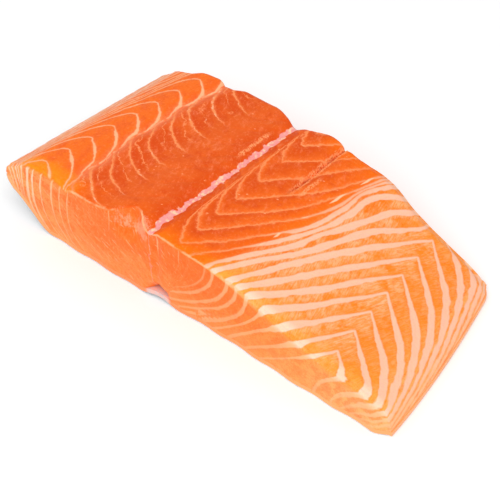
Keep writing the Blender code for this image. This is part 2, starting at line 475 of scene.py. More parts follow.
def blendColour(share, first, second):
    made = addNode("ShaderNodeMix", data_type="RGBA")
    plug(share, made.inputs[0])
    plug(first, made.inputs[6])
    plug(second, made.inputs[7])
    return made.outputs[2]


def noiseOf(place, size, detail=2.0, rough=0.5):
    made = addNode("ShaderNodeTexNoise")
    plug(place, made.inputs["Vector"])
    plug(size, made.inputs["Scale"])
    made.inputs["Detail"].default_value = detail
    made.inputs["Roughness"].default_value = rough
    return made.outputs["Fac"]


def centred(place, size, detail=2.0, rough=0.5):  # the same noise, about 0
    return calc("SUBTRACT", noiseOf(place, size, detail, rough), 0.5)


def scaled(vector, factors):
    made = addNode("ShaderNodeVectorMath", operation="MULTIPLY")
    plug(vector, made.inputs[0])
    made.inputs[1].default_value = factors
    return made.outputs[0]


def turned(vector, degrees, factors):  # turns the axes, then scales along them
    made = addNode("ShaderNodeMapping", vector_type="TEXTURE")
    plug(vector, made.inputs["Vector"])
    made.inputs["Rotation"].default_value = (0, 0, math.radians(degrees))
    made.inputs["Scale"].default_value = [1 / factor for factor in factors]
    return made.outputs[0]


def paint(red, green, blue):  # a colour as it shows on a screen, 0 to 255
    shares = (red / 255, green / 255, blue / 255)
    linear = [s / 12.92 if s < 0.04045 else ((s + 0.055) / 1.055) ** 2.4 for s in shares]
    return (*linear, 1.0)


def colourRamp(value, low, high, stops):  # stops: place in mm and colour
    share = addNode("ShaderNodeMapRange")
    plug(value, share.inputs["Value"])
    share.inputs["From Min"].default_value = low
    share.inputs["From Max"].default_value = high
    made = addNode("ShaderNodeValToRGB")
    plug(share.outputs["Result"], made.inputs["Fac"])
    band = made.color_ramp
    for number, (place, colour) in enumerate(stops):
        where = (place - low) / (high - low)
        stop = band.elements[number] if number < 2 else band.elements.new(where)
        stop.position = where
        stop.color = paint(*colour)
    return made.outputs["Color"]


def attributeOf(name):
    return addNode("ShaderNodeAttribute", attribute_name=name).outputs["Vector"]


def partsOf(vector):
    made = addNode("ShaderNodeSeparateXYZ")
    plug(vector, made.inputs[0])
    return made.outputs


def millimetres():  # a point's place on the piece
    return scaled(addNode("ShaderNodeTexCoord").outputs["Object"], (1000, 1000, 1000))


def startLook(name):
    look = bpy.data.materials.new(name)
    look.use_nodes = True
    bench["tree"] = look.node_tree
    return look, look.node_tree.nodes["Principled BSDF"]


def addBump(shader, height, distance, strength=0.5):
    bump = addNode("ShaderNodeBump")
    bump.inputs["Strength"].default_value = strength
    bump.inputs["Distance"].default_value = distance
    plug(height, bump.inputs["Height"])
    plug(bump.outputs["Normal"], shader.inputs["Normal"])


def startGroup(name, given, made):  # named sockets in and out, each with its kind
    tree = bpy.data.node_groups.new(name, "ShaderNodeTree")
    for sockets, direction in ((given, "INPUT"), (made, "OUTPUT")):
        for label, kind in sockets.items():
            tree.interface.new_socket(name=label, in_out=direction, socket_type="NodeSocket" + kind)
    bench["tree"] = tree
    return tree, addNode("NodeGroupInput").outputs, addNode("NodeGroupOutput").inputs


def placeGroup(group, **values):
    made = addNode("ShaderNodeGroup", node_tree=group)
    for name, value in values.items():
        plug(value, made.inputs[name])
    return made


def seamGroup():  # draws one family of fat seams from its phase, pitch and half width
    tree, given, made = startGroup(
        "fatSeams",
        {
            "Seams": "Vector", "Place": "Vector",
            "Wander": "Float", "Rag": "Float", "Uneven": "Float", "Softness": "Float",
        },
        {"Mask": "Float", "Halo": "Float", "Side": "Float", "Share": "Float", "Flake": "Float"},
    )
    phase, pitch, half = partsOf(given["Seams"])
    swing = times(centred(given["Place"], 0.16, 2.0), given["Wander"])
    shifted = calc("ADD", phase, calc("DIVIDE", swing, pitch))
    share = calc("SUBTRACT", calc("FRACT", calc("ADD", shifted, 0.5)), 0.5)
    side = times(share, pitch)
    fray = times(centred(given["Place"], 0.75, 3.0, 0.6), given["Rag"])
    distance = calc("ABSOLUTE", calc("ADD", side, fray))
    uneven = ramp(noiseOf(given["Place"], 0.32, 1.0), 0.25, 0.75, -1.0, 1.0)
    width = times(half, calc("MULTIPLY_ADD", uneven, given["Uneven"], 1.0))
    inner = calc("SUBTRACT", width, given["Softness"])
    outer = calc("ADD", width, given["Softness"])
    flake = addNode("ShaderNodeTexWhiteNoise", noise_dimensions="1D")
    plug(calc("FLOOR", shifted), flake.inputs["W"])
    halo = ramp(distance, 0.0, calc("MULTIPLY_ADD", width, 2.0, 0.45), 1.0, 0.0)
    present = ramp(half, 0.0, 0.12)
    plug(times(ramp(distance, inner, outer, 1.0, 0.0), present), made["Mask"])
    plug(times(halo, present), made["Halo"])
    plug(side, made["Side"])
    plug(calc("FRACT", shifted), made["Share"])
    plug(flake.outputs["Value"], made["Flake"])
    return tree


def streakGroup():  # fine fibres, long in one direction
    tree, given, made = startGroup(
        "fineStreaks", {"Place": "Vector", "Low": "Float", "High": "Float"}, {"Mask": "Float"}
    )
    fine = noiseOf(given["Place"], 1.0, 3.0, 0.6)
    plug(ramp(fine, given["Low"], given["High"]), made["Mask"])
    return tree


def sheenGroup():  # roughness of a moist surface, wetter in some spots
    tree, given, made = startGroup(
        "moistSheen",
        {"Place": "Vector", "Size": "Float", "Low": "Float", "High": "Float"},
        {"Roughness": "Float"},
    )
    spots = noiseOf(given["Place"], given["Size"], 3.0)
    plug(ramp(spots, 0.3, 0.7, given["Low"], given["High"]), made["Roughness"])
    return tree


def cutMeatGroup():  # the meat's colour on a cut, from the back to the belly edge
    tree, given, made = startGroup("cutMeat", {"Step": "Float"}, {"Colour": "Color"})
    colour = colourRamp(given["Step"], *flesh["stepRange"], flesh["cutStops"])
    plug(colour, made["Colour"])
    return tree


flesh = {
    "cells": (336, 152),
    "layers": 24,
    "keepRow": 8,
    "crowding": 0.15,
    "rimCrowding": 1.25,
    "skinInset": 1.5,
    "insetAngle": 40,
    "bellyInset": 0.3,
    "rimRound": 0.22,
    "rimReach": 1.0,
    "bellyRim": 0.7,
    "backRim": 0.25,
    "pillow": 0.16,
    "groove": 0.55,
    # soft lumps on the upper side: size, height, and a shift so that the two differ
    "lumps": (7.0, 0.12, 0.0),
    "smallLumps": (2.2, 0.05, 4.0),
    "lumpDrop": 0.1,
    "frayDepth": 0.28,
    "fraySet": 0.2,
    "frayHeight": 0.3,
    # frayed patch over the nick: half width, start and reach inwards, lowest height, rise
    "tornShape": (9, 1.2, 5, 16.5, 4),
    "tornColour": (10, 1.3, 4, 17.5, 3.5),
    # half width of the fat seams, and how much some grow on the way
    "thinSeam": 0.19,
    "innerSeam": (0.34, 0.6),
    "outerSeam": (0.32, 0.62),
    "midSeam": 0.27,
    "backSeam": (0.16, 0.3),
    "translucency": 0.15,
    "lightReach": (1.0, 0.35, 0.15),
    "lightDepth": 0.0008,
    "gloss": 0.12,
    "bumpHeight": 0.00012,
    "stepRange": (-26, 102),  # mm from the step that the next colours run over
    "topStops": (
        (-26, (244, 150, 104)), (-20, (250, 126, 56)), (-14, (252, 118, 28)), (-2, (248, 110, 28)),
        (0.5, (246, 126, 78)), (4, (230, 95, 30)), (12, (228, 93, 24)), (20, (232, 96, 28)),
        (27, (220, 78, 12)), (33, (224, 84, 10)), (44, (232, 95, 18)), (52, (240, 102, 12)),
        (60, (255, 122, 16)), (70, (255, 134, 26)), (88, (255, 132, 20)), (102, (255, 150, 50)),
    ),
    "cutStops": (
        (-26, (255, 172, 94)), (-14, (255, 158, 82)), (-4, (255, 140, 64)), (10, (254, 112, 36)),
        (28, (254, 104, 24)), (50, (255, 108, 24)), (66, (255, 128, 40)), (84, (255, 158, 80)),
        (102, (255, 176, 106)),
    ),
    # meat
    "deep": (220, 76, 10),
    # painted shade and painted light on the two sides of the flakes
    "midShade": (218, 74, 12),
    "bellyShade": (216, 74, 12),
    "bellyLight": (250, 118, 40),
    "light": (248, 112, 28),
    "milk": (250, 142, 94),
    "backCloud": (238, 96, 34),
    "backSpot": (226, 84, 26),
    "cutCloud": (250, 112, 34),
    "cutSmear": (255, 156, 86),
    "cutLow": (255, 154, 80),
    "cutDash": (255, 184, 140),
    "cutSpot": (232, 92, 34),
    "cutFibre": (255, 176, 112),
    "bellySmear": (255, 170, 104),
    "bellyHatch": (255, 188, 140),
    "bellyEdge": (255, 196, 118),
    # painted glow where the flesh thins at the rims
    "backGlow": (255, 142, 10),
    "midGlow": (255, 116, 0),
    "bellyGlow": (255, 168, 60),
    "grainDark": (226, 84, 20),
    "grainPale": (255, 160, 104),
    # fat
    "fat": (255, 193, 162),
    "thinFat": (250, 146, 88),
    "cutFat": (255, 190, 140),
    "noseFat": (255, 208, 172),
    "backFat": (255, 184, 138),
    # rim fat, partly a painted highlight on the edge
    "rimFatHighlight": (255, 224, 200),
    "tickFat": (255, 200, 158),
    "midFat": (255, 190, 150),
    "besideFat": (250, 122, 24),
    "halo": (253, 150, 92),
    "fleck": (255, 170, 120),
    # lines and torn edges
    "margin": (252, 196, 164),
    "stepLine": (252, 168, 124),
    "rimLine": (255, 190, 140),
    "band": (244, 160, 156),
    "bandPale": (255, 208, 172),
    "frayed": (255, 166, 108),
    "shreds": (252, 160, 104),
    # painted shadow in the crack
    "crackShadow": (186, 56, 10),
    "fuzz": (252, 166, 128),
}

fatSeams = seamGroup()
fineStreaks = streakGroup()
moistSheen = sheenGroup()
cutMeat = cutMeatGroup()
print("node groups ready")


def fleshPlace(u, v, h):
    p = portion
    across = crowd(u, flesh["crowding"])
    along = crowd(v, flesh["crowding"])
    left, right = backEdge(along), bellyEdge(along)
    inset = flesh["skinInset"]
    y = betweenCuts(across, along, h)
    topStart = left + p["noseShoulder"]
    lowStart = left + p["noseTuck"] + inset * math.sin(math.radians(flesh["insetAngle"]))
    topX = mix(topStart, right - p["bellyLean"], across)
    lowX = mix(lowStart, right - flesh["bellyInset"], across)
    topZ = upperHeight(topX, y, along)
    lowZ = underHeight(lowX, y, along) + inset * np.hypot(1, underSlope(lowX, y, along))
    x = mix(lowX, topX, h)
    z = mix(lowZ, topZ, h)
    overSkin = smooth((z - p["noseHeight"] - 0.05) / 0.6)
    tuck = (noseInset(z + 0.1) - noseInset(z)) * 10
    wall = left + noseInset(z) + inset * np.hypot(1, tuck) * (1 - overSkin)
    wall = np.minimum(wall, lowStart)
    x = x + (wall - mix(lowStart, topStart, h)) * bell(across, p["endShare"])
    x = x + 4 * h * (1 - h) * p["bellySwell"] * bell(1 - across, p["endShare"])
    y = y + nearTear(x, z, across) * (1 - smooth(along * p["depth"] / p["tearReach"]))
    y = y + lowerWave(x, y, z)
    return x, y, z, topZ, along


def localPitch(phaseAt, x, y, depth, onCut):  # millimetres from one seam to the next
    step = 0.25
    acrossRate = (phaseAt(x + step, y) - phaseAt(x - step, y)) / (2 * step)
    alongRate = (phaseAt(x, y + step) - phaseAt(x, y - step)) / (2 * step)
    sinkRate = (drift(x, depth + step) - drift(x, np.maximum(depth - step, 0))) / (2 * step)
    other = mix(alongRate, acrossRate * sinkRate, onCut)
    return 1 / np.clip(np.hypot(acrossRate, other), 0.08, 3.0)


def tornPatch(across, fromNear, z, sizes):
    width, start, reach, low, rise = sizes
    share = bell((across - portion["nick"][0]) * portion["nearWidth"] - 1, width)
    return share * smooth(start - fromNear / reach) * smooth((z - low) / rise)


def lumps(x, y, z, name):
    size, height, shift = flesh[name]
    return noiseAt(x, y, z, size, shift) * height


def buildFlesh(look):
    mesh = block(flesh["cells"], flesh["layers"], flesh["keepRow"])
    u, v, h = pointsOf(mesh)
    x, y, z, topZ, along = fleshPlace(u, v, 1 - (1 - h) ** flesh["rimCrowding"])
    across = (x - backEdge(along)) / (bellyEdge(along) - backEdge(along))
    nearY = nearCut(across) - portion["depth"] / 2
    depth = np.maximum(topZ - z, 0)

    # rounded rim, pillows between the seams, and the ragged torn patch over the nick
    fromNear = y - nearY
    fromFar = portion["depth"] / 2 - farCut(across) - y
    plump = smooth((across - 0.6) / 0.15)
    rim = mix(flesh["rimRound"], flesh["bellyRim"], plump)
    rim = rim + flesh["backRim"] * smooth(-stepOffset(x, y) / 4)
    top = smooth(1 - depth / (2.2 * rim + 0.1))
    reach = mix(flesh["rimReach"], 3 * flesh["rimReach"], plump)
    z = z - rim * top * (1 - smooth(np.minimum(fromNear, fromFar) / reach))
    upper = 1 - smooth(depth / flesh["rimReach"])
    inFrom = along * portion["depth"]
    near = 1 - smooth(inFrom / (3 * rim))
    far = 1 - smooth((portion["depth"] - inFrom) / (3 * rim))
    y = y + rim * upper * (near - far)
    band, step = bandOffset(x, y), stepOffset(x, y)
    phase = np.where(band > 0, bellyPhase(x, y), np.where(step > 0, midPhase(x, y), backPhase(x, y)))
    pillow = np.sin(math.pi * (phase - np.floor(phase))) ** 0.5
    z = z - flesh["pillow"] * (1 - pillow) * top * smooth(fromNear / 2)
    soft = lumps(x, y, z, "lumps") + lumps(x, y, z, "smallLumps")
    z = z + (soft - flesh["lumpDrop"]) * top
    torn = tornPatch(across, fromNear, z, flesh["tornShape"])
    shred = noiseAt(x * 0.45, y, z * 1.3, 1.3, 9.0) + 0.5 * noiseAt(x, y, z, 0.8, 5.0)
    y = y + torn * (flesh["frayDepth"] * shred + flesh["fraySet"])
    z = z + torn * flesh["frayHeight"] * (noiseAt(x * 0.7, y, z, 1.1, 2.0) - 1)
    groove = bell(x - portion["notch"][0] - 0.06 * (z - 12), 2.4)
    y = y + flesh["groove"] * groove * smooth(1 - fromNear / 6) * smooth(depth / 3)
    movePoints(mesh, x, y, z)
    bmesh.ops.recalc_face_normals(mesh, faces=mesh.faces)
    piece = makePiece("fleshFine", mesh, look)
    storeFleshValues(piece)
    return piece


def storeFleshValues(piece):
    count = len(piece.data.vertices)
    flat = np.empty(count * 3)
    piece.data.vertices.foreach_get("co", flat)
    x, y, z = flat.reshape(-1, 3).T / mm
    along = np.clip((y + portion["depth"] / 2) / portion["depth"], 0, 1)
    left, right = backEdge(along), bellyEdge(along)
    across = (x - left) / (right - left)
    depth = np.maximum(upperHeight(x, y, along) - z - 0.25, 0)
    onCut = smooth(depth / 0.8)
    xe = x
    for turn in range(8):
        xe = x + drift(xe, depth)
    step, band = stepOffset(xe, y), bandOffset(xe, y)
    fromTip = xe - (seams["bellyTips"][0] + seams["bellyTips"][1] * y)
    start, tilt, bend = seams["streak"]
    fromStreak = xe - (start + tilt * y + bend * y * y)
    cutDistance = y - (nearCut(across) - portion["depth"] / 2)

    bellyPitch = localPitch(bellyPhase, xe, y, depth, onCut)
    thin, growth = flesh["innerSeam"]
    inner = thin + growth * smooth(-fromTip / 13) * (1 - 0.25 * smooth((-fromTip - 20) / 8))
    thin, growth = flesh["outerSeam"]
    outer = thin + growth * smooth(fromTip / 11)
    bellyHalf = np.where(fromTip > 0, outer, inner)
    bellyHalf = mix(flesh["thinSeam"], bellyHalf, smooth((fromStreak + 1.5) / 5))
    bellyHalf = bellyHalf * smooth((band - seams["valley"][4]) / 0.9)
    bellyHalf = bellyHalf * (1 + 0.25 * bell(cutDistance - 0.8, 2.6) * smooth(fromStreak / 4))
    slim = smooth(depth / mix(0.8, 10.0, smooth((across - 0.66) / 0.1)))
    bellyHalf = np.minimum(bellyHalf, 0.34 * bellyPitch) * mix(1.0, 0.5, slim)
    storeValues(piece, "bellySeams", bellyPhase(xe, y), bellyPitch, bellyHalf)

    midHalf = flesh["midSeam"] * (1 - smooth((step - 6) / 13)) * mix(1.0, 0.4, onCut)
    midPitch = localPitch(midPhase, xe, y, depth, onCut)
    storeValues(piece, "midSeams", midPhase(xe, y), midPitch, midHalf)

    fromBackTip = xe - (seams["backTips"][0] + seams["backTips"][1] * y)
    thin, growth = flesh["backSeam"]
    backHalf = thin + growth * bell(fromBackTip - 4.5, 3.5)
    backPitch = localPitch(backPhase, xe, y, depth, onCut)
    storeValues(piece, "backSeams", backPhase(xe, y), backPitch, backHalf)

    cutAt = cutPhase(xe)
    cutPitch = 0.5 / np.maximum(cutPhase(xe + 0.25) - cutPhase(xe - 0.25), 0.02)
    halves = [line[1] for line in seams["cutLines"]]
    cutHalf = np.interp(cutAt, np.arange(len(halves)), halves)
    cutHalf = cutHalf * (1 - smooth((depth - 3) / 7) * smooth((xe + 38) / 6))
    storeValues(piece, "cutSeams", cutAt, cutPitch, cutHalf)
    storeValues(piece, "cutRun", xe, 0.6 * x - 0.8 * depth, depth)  # the middle one is slanted
    storeValues(piece, "zones", step, band, fromStreak)
    tear = nearTear(x, z, across) * (1 - smooth((cutDistance - 10) / 20))
    storeValues(piece, "edges", xe - left, cutDistance - tear, depth)
    torn = tornPatch(across, cutDistance, z, flesh["tornColour"])
    storeValues(piece, "crack", crackOffset(x, y), crackShare(y), torn)
    storeValues(piece, "tips", fromTip, knotOffset(xe, y), across)


def tint(share, colour, name):  # lays one of the flesh's colours over what is there
    return blendColour(share, colour, paint(*flesh[name]))


def fleshMeasures():  # where a point lies: mm from each line of the fillet, and in which part
    at = SimpleNamespace(place=millimetres())
    for name, keys in (
        ("zones", ("step", "band", "streak")),
        ("edges", ("back", "rim", "depth")),
        ("crack", ("crack", "crackShare", "torn")),
        ("tips", ("tip", "knots", "across")),
    ):
        for key, socket in zip(keys, partsOf(attributeOf(name))):
            setattr(at, key, socket)
    at.onCut = ramp(at.depth, 0.1, ramp(at.across, 0.55, 0.72, 0.7, 3.2))
    at.offCut = rest(at.onCut)
    at.jitter = times(centred(at.place, 0.7, 3.0), 1.2)
    at.stepEdge = calc("MULTIPLY_ADD", at.jitter, 0.6, at.step)
    at.inBack = ramp(at.stepEdge, -0.15, 0.15, 1.0, 0.0)
    at.inBelly = ramp(at.band, -0.1, 0.1)
    at.inMid = calc("SUBTRACT", rest(at.inBack), at.inBelly, clamp=True)
    red = times(ramp(at.step, 0.5, 5), ramp(at.streak, -6, 0, 1.0, 0.0))
    at.inRed = times(red, at.offCut)
    at.bellyMeat = times(ramp(at.streak, 0, 5), at.inBelly, at.offCut)
    at.cloud = noiseOf(at.place, 0.3, 6.0, 0.7)
    return at


def seamSets(at):  # the fat seams of each part of the fillet
    def seamSet(seamSockets, place=at.place, **values):
        return placeGroup(fatSeams, Seams=seamSockets, Place=place, **values).outputs

    bellyRag = ramp(at.tip, 0, 5, 0.16, 0.6)
    bellyRag = calc("ADD", bellyRag, ramp(at.streak, -5, 1, 1.7, 0.0))
    midSeams = attributeOf("midSeams")
    halfWay = addNode("ShaderNodeVectorMath", operation="MULTIPLY_ADD")
    plug(midSeams, halfWay.inputs[0])
    halfWay.inputs[1].default_value = (1.0, 1.0, 0.7)
    halfWay.inputs[2].default_value = (0.45, 0, 0)
    return SimpleNamespace(
        belly=seamSet(attributeOf("bellySeams"),
                      Wander=0.7, Rag=bellyRag, Uneven=0.22, Softness=0.2),
        mid=seamSet(midSeams, Wander=1.4, Rag=1.5, Uneven=0.5, Softness=0.14),
        faint=seamSet(halfWay.outputs[0], turned(at.place, 40, (1, 1, 1)),
                      Wander=4.5, Rag=3.0, Uneven=0.6, Softness=0.12),
        back=seamSet(attributeOf("backSeams"), Wander=0.9, Rag=0.7, Uneven=0.3, Softness=0.15),
        cuts=seamSet(attributeOf("cutSeams"), Wander=0.7, Rag=0.4, Uneven=0.4, Softness=0.18),
    )


def overParts(at, sets, name):  # one output of the seams, each family in its own part
    total = times(sets.belly[name], at.inBelly)
    total = calc("MULTIPLY_ADD", sets.mid[name], at.inMid, total)
    return calc("MULTIPLY_ADD", sets.back[name], at.inBack, total)


def redMeat(at, sets, colour):  # clouds, with painted shade on one side of each flake's seam and, in the belly, painted light on the other
    beside = ramp(at.step, 8, 16, 1.0, 0.0)  # near the step, where the flakes show
    flake = times(overParts(at, sets, "Flake"), beside)
    tone = calc("MULTIPLY_ADD", flake, 0.2, times(at.cloud, 0.85))
    deep = tint(ramp(tone, 0.4, 0.56, 0.0, 0.8), colour, "deep")
    # painted shade on the shadow side of each flake near the step
    midShade = window(sets.mid["Share"], (0.03, 0.12), (0.2, 0.6))
    deep = tint(times(midShade, at.inMid, 0.8, beside), deep, "midShade")
    bellyShade = window(sets.belly["Share"], (0.4, 0.85), (0.9, 0.98))
    deep = tint(times(bellyShade, at.inBelly, 0.6), deep, "bellyShade")
    # painted light on the lit side of each belly flake
    bellyLight = ramp(sets.belly["Share"], 0.05, 0.45, 0.45, 0.0)
    deep = tint(times(bellyLight, at.inBelly), deep, "bellyLight")
    light = noiseOf(turned(at.place, 10, (0.6, 1.0, 1.0)), 0.13, 4.0, 0.6)
    light = times(ramp(light, 0.5, 0.66), ramp(at.band, -3, 3, 0.25, 0.4))
    deep = tint(light, deep, "light")
    colour = blendColour(at.inRed, colour, deep)
    milk = noiseOf(turned(at.place, 20, (1.0, 0.5, 1.0)), 0.55, 5.0, 0.75)
    milk = times(
        ramp(milk, 0.5, 0.7), at.inRed, ramp(at.step, 3, 16, 0.65, 0.4),
        ramp(at.rim, 2, 12, 0.35, 1.0),
    )
    return tint(milk, colour, "milk")


def backAndCutMeat(at, colour):  # mottled back, and the fibres that show on the cuts
    freckle = ramp(noiseOf(at.place, 1.9, 4.0, 0.75), 0.52, 0.66)
    backCloud = times(ramp(at.cloud, 0.45, 0.62), at.inBack, at.offCut, ramp(at.back, 4, 9, 0.0, 0.6))
    colour = tint(backCloud, colour, "backCloud")
    colour = tint(times(freckle, at.inBack, 0.3), colour, "backSpot")

    cutRun = attributeOf("cutRun")
    cutCloud = times(ramp(at.cloud, 0.43, 0.57, 0.0, 0.9), at.onCut, ramp(at.band, 20, 60, 1.0, 0.5))
    colour = tint(cutCloud, colour, "cutCloud")
    slant = scaled(cutRun, (0.16, 0.8, 0.0))
    smear = times(
        ramp(noiseOf(slant, 0.55, 5.0, 0.7), 0.46, 0.64), at.onCut,
        ramp(at.depth, 2, 14, 0.12, 0.5), ramp(at.band, 2, 14, 1.0, 0.4),
    )
    colour = tint(smear, colour, "cutSmear")
    low = times(at.onCut, ramp(at.depth, 8, 21, 0.0, 0.45))
    colour = tint(low, colour, "cutLow")
    dashes = times(
        ramp(noiseOf(slant, 2.2, 2.0), 0.62, 0.72, 0.0, 0.6), at.onCut,
        ramp(at.band, 6, 20, 1.0, 0.0),
    )
    colour = tint(dashes, colour, "cutDash")
    colour = tint(times(freckle, at.onCut, 0.4), colour, "cutSpot")
    fibre = noiseOf(scaled(cutRun, (1.3, 0.3, 0.4)), 1.0, 5.0, 0.75)
    fibre = times(ramp(fibre, 0.48, 0.68), at.onCut, ramp(at.step, 10, 30, 0.26, 0.18))
    return tint(fibre, colour, "cutFibre")


def bellyFibres(at, sets, colour):  # hatched fibres and milky smears in the belly flakes
    def streaks(degrees, factors, low, high):
        slanted = turned(at.place, degrees, factors)
        return placeGroup(fineStreaks, Place=slanted, Low=low, High=high).outputs["Mask"]

    beyondTip = ramp(at.tip, -9, -2)
    hatch = calc(
        "ADD",
        times(streaks(16, (2.6, 0.42, 1.0), 0.42, 0.6), rest(beyondTip)),
        times(streaks(-22, (2.4, 0.4, 1.0), 0.44, 0.62), beyondTip),
    )
    smear = times(
        ramp(noiseOf(at.place, 0.22, 3.0, 0.6), 0.36, 0.54),
        ramp(sets.belly["Share"], 0.0, 0.8, 0.25, 1.0), at.bellyMeat,
        ramp(at.tip, 0, 5, 1.0, 0.3),
    )
    colour = tint(times(smear, 0.62), colour, "bellySmear")
    hatched = calc("MULTIPLY_ADD", smear, 0.75, times(at.bellyMeat, 0.15))
    colour = tint(times(hatch, hatched), colour, "bellyHatch")
    edge = streaks(7, (1.5, 0.05, 0.1), 0.42, 0.62)
    edge = times(edge, ramp(at.tip, 11, 17, 0.0, 0.55), at.offCut)
    return tint(edge, colour, "bellyEdge")


def glowAtRims(at, colour):  # painted glow: orange light painted where the top thins towards the cuts
    share = calc("ADD", ramp(at.step, 1, 8, 1.0, 0.25), ramp(at.band, 1, 5), clamp=True)
    swing = times(centred(at.place, 0.15, 2.0), 7.0)
    reach = ramp(at.band, 0, 4, 6.5, 8)
    near = ramp(calc("ADD", at.rim, swing), 1.5, reach, 0.95, 0.0)
    near = times(near, share, at.offCut)
    far = times(ramp(at.rim, 50, 57), ramp(at.band, 6, 14, 0.0, 0.7), at.offCut)
    glow = times(calc("MAXIMUM", near, far), ramp(at.across, 0.6, 0.75, 1.0, 0.45))
    tone = tint(ramp(at.step, -2, 6), paint(*flesh["backGlow"]), "midGlow")
    tone = tint(ramp(at.streak, -2, 5), tone, "bellyGlow")
    return blendColour(glow, colour, tone)


def besideSeams(at, sets, colour):  # soft halo of each seam, deeper orange beside the thick ones
    halo = times(
        overParts(at, sets, "Halo"), ramp(at.onCut, 0, 1, 0.4, 0.15),
        ramp(at.streak, -2, 6, 1.0, 0.25),
    )
    besideFat = times(sets.belly["Halo"], at.bellyMeat, 0.35)
    return tint(halo, tint(besideFat, colour, "besideFat"), "halo")


def seamTicks(at, sets):  # small ticks across the red seams near the knot line
    side = sets.belly["Side"]
    cross = calc("ABSOLUTE", calc("MULTIPLY_ADD", side, 0.35, at.knots))
    return times(
        ramp(cross, 0.14, 0.36, 1.0, 0.0), window(side, (-1.5, -1.1), (0.1, 0.3)),
        ramp(sets.belly["Flake"], 0.3, 0.35), window(at.streak, (-6, -4), (0, 2)), at.offCut,
    )


def fatTone(at, ticks):
    tone = tint(ramp(at.streak, -3, 3), paint(*flesh["thinFat"]), "fat")
    # fat paler near the near rim: partly its own colour, partly a painted highlight on the edge
    blob = times(ramp(at.rim, 0.5, 4.0, 0.6, 0.0), ramp(at.streak, 0, 4))
    tone = tint(blob, tone, "rimFatHighlight")
    cutTone = tint(ramp(at.step, -14, -2), paint(*flesh["noseFat"]), "cutFat")
    tone = blendColour(at.onCut, tone, cutTone)
    tone = tint(times(at.inBack, at.offCut), tone, "backFat")
    tone = tint(ticks, tone, "tickFat")
    knots = ramp(noiseOf(at.place, 0.6, 2.0), 0.58, 0.68, 0.0, 0.7)
    return tint(times(knots, at.inMid), tone, "midFat")


def fatShare(at, sets, ticks):  # how much fat shows at a point
    lesser = ramp(noiseOf(at.place, 0.25), 0.35, 0.5)
    lesser = times(sets.faint["Mask"], lesser, 0.8)
    drawn = times(calc("MAXIMUM", sets.belly["Mask"], ticks), at.inBelly)
    mid = calc("MAXIMUM", sets.mid["Mask"], lesser)
    drawn = calc("MULTIPLY_ADD", mid, at.inMid, drawn)
    drawn = calc("MULTIPLY_ADD", sets.back["Mask"], at.inBack, drawn, clamp=True)
    meatCut = times(at.onCut, ramp(at.band, 14, 22, 1.0, 0.0))
    drawn = calc("ADD", times(drawn, rest(meatCut)), times(sets.cuts["Mask"], meatCut))
    # fainter on the cuts, most of all low down
    paleLow = ramp(at.depth, 4, 13, 0.0, ramp(at.step, -8, 2, 0.35, 0.1))
    loss = calc("ADD", ramp(at.step, -8, 2, 0.08, 0.4), paleLow)
    fade = ramp(at.depth, 1.5, 9, ramp(at.across, 0.6, 0.72, 1.0, 0.3), 1.0)
    return times(drawn, calc("SUBTRACT", 0.95, times(loss, at.onCut, fade)))


def marginAndBand(at, colour):  # streaks along the back edge, the step line and the pink band
    margin = placeGroup(
        fineStreaks, Place=turned(at.place, -6.7, (1.7, 0.05, 0.05)), Low=0.44, High=0.56
    )
    margin = times(margin.outputs["Mask"], ramp(at.back, 3.0, 9.5, 0.9, 0.0), at.offCut)
    colour = tint(margin, colour, "margin")
    stepLine = times(
        ramp(calc("ABSOLUTE", at.stepEdge), 0.05, 0.3, 0.75, 0.0),
        ramp(noiseOf(at.place, 0.5, 2.0), 0.4, 0.55), at.offCut,
    )
    colour = tint(stepLine, colour, "stepLine")

    sway = centred(at.place, 0.28, 1.0)
    edge = calc("MULTIPLY_ADD", sway, 1.6, calc("MULTIPLY_ADD", at.jitter, 1.1, at.band))
    half = ramp(noiseOf(at.place, 0.45, 1.0), 0.3, 0.7, 0.5, 1.15)
    half = times(half, ramp(at.onCut, 0, 1, 1.0, 0.15))
    inner, outer = calc("SUBTRACT", half, 0.14), calc("ADD", half, 0.14)
    band = ramp(calc("ABSOLUTE", edge), inner, outer, 1.0, 0.0)
    tone = ramp(noiseOf(at.place, 0.9, 3.0), 0.5, 0.66)
    tone = tint(tone, paint(*flesh["band"]), "bandPale")
    return blendColour(times(band, ramp(at.onCut, 0, 1, 1.0, 0.4)), colour, tone)


def crackAndShreds(at, colour):  # a crack with painted shadow in it and pale frayed edges, and shreds like them
    frayed = ramp(noiseOf(at.place, 2.4, 3.0, 0.7), 0.42, 0.52)

    def frayedLine(offset, reach, strength, share, name):
        edge = ramp(calc("ABSOLUTE", offset), *reach, strength, 0.0)
        return tint(times(edge, frayed, share), colour, name)

    crack = calc("MULTIPLY_ADD", at.jitter, 1.1, at.crack)
    colour = frayedLine(crack, (0.6, 1.3), 0.95, at.crackShare, "frayed")
    byBand = calc("MULTIPLY_ADD", at.jitter, 1.5, calc("ADD", at.band, 2.6))
    stretch = window(at.rim, (34, 38), (46, 50))
    colour = frayedLine(byBand, (0.2, 0.7), 0.9, stretch, "shreds")
    byCrack = calc("ADD", crack, -2.7)
    stretch = window(at.rim, (33, 36), (41, 45))
    colour = frayedLine(byCrack, (0.3, 0.8), 0.75, stretch, "frayed")
    # painted shadow down in the crack, only in parts
    dark = ramp(calc("ABSOLUTE", calc("ADD", crack, 0.3)), 0.05, 0.45, 0.6, 0.0)
    dark = times(dark, ramp(noiseOf(at.place, 0.35, 2.0), 0.35, 0.6), at.crackShare)
    return tint(dark, colour, "crackShadow")


